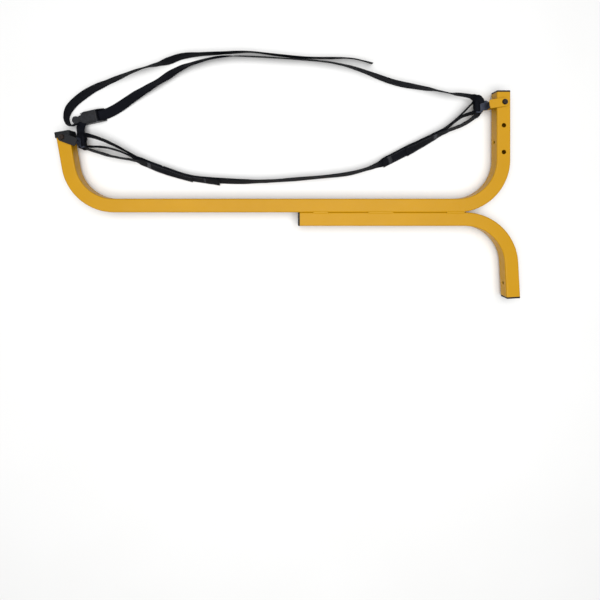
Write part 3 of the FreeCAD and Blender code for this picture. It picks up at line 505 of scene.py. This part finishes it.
# ------------------------------------------------------------------ yellow tubes and painted steel
# Square steel tube in a golden yellow powder coat. The baked powder leaves a glossy skin with
# a soft orange peel, and it is rubbed a little duller where the bars have been handled.
PEEL = 0.0022      # width of one orange-peel dimple, drawn coarse to show
CLOUD = 0.090      # slow drift of the colour, so that the long bars aren't one flat tone
GRIT = 0.012       # patches handled duller
powder, powder_shader = new_finish("golden_yellow_powder_coat")
powder_place = add_node(powder, "ShaderNodeTexCoord")
cloud = add_node(powder, "ShaderNodeTexNoise", {"Vector": (powder_place, "Object"), "Scale": 1 / CLOUD,
                                                "Detail": 4.0})
peel = add_node(powder, "ShaderNodeTexNoise", {"Vector": (powder_place, "Object"), "Scale": 1 / PEEL,
                                               "Detail": 1.0})
grit = add_node(powder, "ShaderNodeTexNoise", {"Vector": (powder_place, "Object"), "Scale": 1 / GRIT,
                                               "Detail": 6.0, "Roughness": 0.7})
powder_colour = add_node(powder, "ShaderNodeMix", {"Factor": (cloud, "Fac"), "A": hex_to_linear("B58406"),
                                                   "B": hex_to_linear("C3900A")}, data_type="RGBA")
join(powder, powder_colour, "Result", powder_shader, "Base Color")
powder_rough = add_node(powder, "ShaderNodeMapRange", {"Value": (grit, "Fac"), "From Min": 0.3,
                                                       "From Max": 0.7, "To Min": 0.30, "To Max": 0.46})
join(powder, powder_rough, "Result", powder_shader, "Roughness")
powder_bump = add_node(powder, "ShaderNodeBump", {"Height": (peel, "Fac"), "Strength": 0.22,
                                                  "Distance": 0.0006})
join(powder, powder_bump, "Normal", powder_shader, "Normal")
powder_shader.inputs["Specular IOR Level"].default_value = 0.15
powder_shader.inputs["Coat Weight"].default_value = 0.04
powder_shader.inputs["Coat Roughness"].default_value = 0.18


def coat(material, *names):
    """Give CAD nodes a finish."""
    for name in names:
        for slot in nodes[name].material_slots:
            slot.material = material


coat(powder, "main_bar_tube", "lower_arm_tube", "weld_beads", "right_top_ear", "right_bottom_ear",
     "right_link_pin")

# ------------------------------------------------------------------ end plugs
# Black polyethylene plugs pushed into the open tube ends: moulded, with a fine spark-eroded
# texture of 0.9 mm that keeps the plastic matt and shows as a faint grain.
coat(grained("moulded_polyethylene", "0C0C0D", "1E1E20", 0.0009, 4.0, 0.5, (0.35, 0.0002), specular=0.2),
     "right_post_plug", "lower_bar_plug", "arm_end_plug")

# ------------------------------------------------------------------ rubber foot cap
# Slip-over cap of carbon black rubber, compression moulded. It has a dull bloom and a few
# paler scuffs, which break up the soft highlight along its rounded edge.
BLOOM = 0.010      # patches of bloom, seen as cloudy grey
SKIN = 0.0010      # the mould's fine texture, seen as a matt surface
rubber, rubber_shader = new_finish("moulded_black_rubber")
rubber_place = add_node(rubber, "ShaderNodeTexCoord")
bloom = add_node(rubber, "ShaderNodeTexNoise", {"Vector": (rubber_place, "Object"), "Scale": 1 / BLOOM,
                                                "Detail": 5.0, "Roughness": 0.65})
skin = add_node(rubber, "ShaderNodeTexNoise", {"Vector": (rubber_place, "Object"), "Scale": 1 / SKIN,
                                               "Detail": 3.0})
rubber_bump = add_node(rubber, "ShaderNodeBump", {"Height": (skin, "Fac"), "Strength": 0.3,
                                                  "Distance": 0.0003})
rubber_colour = add_node(rubber, "ShaderNodeMix", {"Factor": (bloom, "Fac"), "A": hex_to_linear("0B0C0E"),
                                                   "B": hex_to_linear("1C1E21")}, data_type="RGBA")
join(rubber, rubber_colour, "Result", rubber_shader, "Base Color")
join(rubber, rubber_bump, "Normal", rubber_shader, "Normal")
rubber_shader.inputs["Roughness"].default_value = 0.58
rubber_shader.inputs["Specular IOR Level"].default_value = 0.2
coat(rubber, "rubber_foot_cap")

# ------------------------------------------------------------------ swivel brackets
# Steel binding posts in black oxide, nylon washers, and on the left a bracket in black powder
# coat. The oxide is a thin dark skin, oily and uneven over 4 mm, with bare metal showing through.
coat(grained("black_oxide_steel", "160D08", "2C2018", 0.004, 5.0, 0.42, (0.15, 0.0002), metallic=0.6),
     "right_barrel_nut", "right_pivot_screw", "left_barrel_nut", "left_pivot_screw")

# The two slotted links are blued spring steel: a dark slate skin, browner where it thins over 7 mm.
coat(grained("blued_steel", "1E2230", "343A48", 0.007, 4.0, 0.45, (0.1, 0.0002), metallic=0.6),
     "right_strap_link", "left_strap_link")

# Nylon shows faint flow lines of 3 mm, and the black powder coat an orange peel of 1.8 mm.
coat(grained("moulded_black_nylon", "1A1A1B", "303032", 0.003, 3.0, 0.4, specular=0.25),
     "right_washers", "left_washers")
coat(grained("black_powder_coat", "0B0C0E", "1A1C20", 0.0018, 2.0, 0.38, (0.25, 0.0004), specular=0.2),
     "left_top_ear", "left_bottom_ear", "left_link_pin")

# The plating's 2 mm spangle makes the small pins and spacers glint unevenly.
coat(grained("zinc_plated_steel", "8A8C90", "B4B6BA", 0.002, 3.0, 0.35, metallic=1.0),
     "right_spacers", "left_spacers", "cam_pin", "anchor_bar", "cam_spring")

# ------------------------------------------------------------------ cam buckle
# Die-cast zinc buckle in black paint: a channel for the strap with a toothed cam under a thumb
# lever. The paint is rubbed thin in patches, where the grey metal shows.
RUB = 0.006        # size of a rubbed patch
alloy, alloy_shader = new_finish("painted_zinc_alloy")
alloy_place = add_node(alloy, "ShaderNodeTexCoord")
rub = add_node(alloy, "ShaderNodeTexNoise", {"Vector": (alloy_place, "Object"), "Scale": 1 / RUB,
                                             "Detail": 6.0, "Roughness": 0.7})
rub_edge = add_node(alloy, "ShaderNodeMapRange", {"Value": (rub, "Fac"), "From Min": 0.42, "From Max": 0.68})
alloy_colour = add_node(alloy, "ShaderNodeMix", {"Factor": (rub_edge, "Result"), "A": hex_to_linear("0A0B0E"),
                                                 "B": hex_to_linear("1E2027")}, data_type="RGBA")
join(alloy, alloy_colour, "Result", alloy_shader, "Base Color")
alloy_bump = add_node(alloy, "ShaderNodeBump", {"Height": (rub, "Fac"), "Strength": 0.25, "Distance": 0.0003})
join(alloy, alloy_bump, "Normal", alloy_shader, "Normal")
alloy_shader.inputs["Specular IOR Level"].default_value = 0.2
alloy_shader.inputs["Roughness"].default_value = 0.4
coat(alloy, "buckle_body", "cam_lever")

# ------------------------------------------------------------------ floor and light
# A plain pale studio floor under one broad softbox overhead, with a faint even fill all round.
FLOOR = 6          # metres from the middle to each edge; only a low view sees past it
floor_mesh = bpy.data.meshes.new("floor")
floor_mesh.from_pydata([(-FLOOR, -FLOOR, 0), (FLOOR, -FLOOR, 0), (FLOOR, FLOOR, 0), (-FLOOR, FLOOR, 0)],
                       [], [(0, 1, 2, 3)])
floor = bpy.data.objects.new("floor", floor_mesh)
bpy.context.scene.collection.objects.link(floor)
paper = grained("pale_paper_floor", "E6E6E5", "EAEAEA", 0.25, 2.0, 0.9)
floor_mesh.materials.append(paper)

softbox = bpy.data.objects.new("softbox", bpy.data.lights.new("softbox", "AREA"))
softbox.data.size = 3.4
softbox.data.energy = 134
softbox.location = (0.0, -0.1, 2.7)
bpy.context.scene.collection.objects.link(softbox)
studio = bpy.data.worlds.new("studio")
studio.use_nodes = True
studio.node_tree.nodes["Background"].inputs["Color"].default_value = (1, 1, 1, 1)
studio.node_tree.nodes["Background"].inputs["Strength"].default_value = 0.1
bpy.context.scene.world = studio
bpy.context.scene.view_settings.view_transform = "Standard"
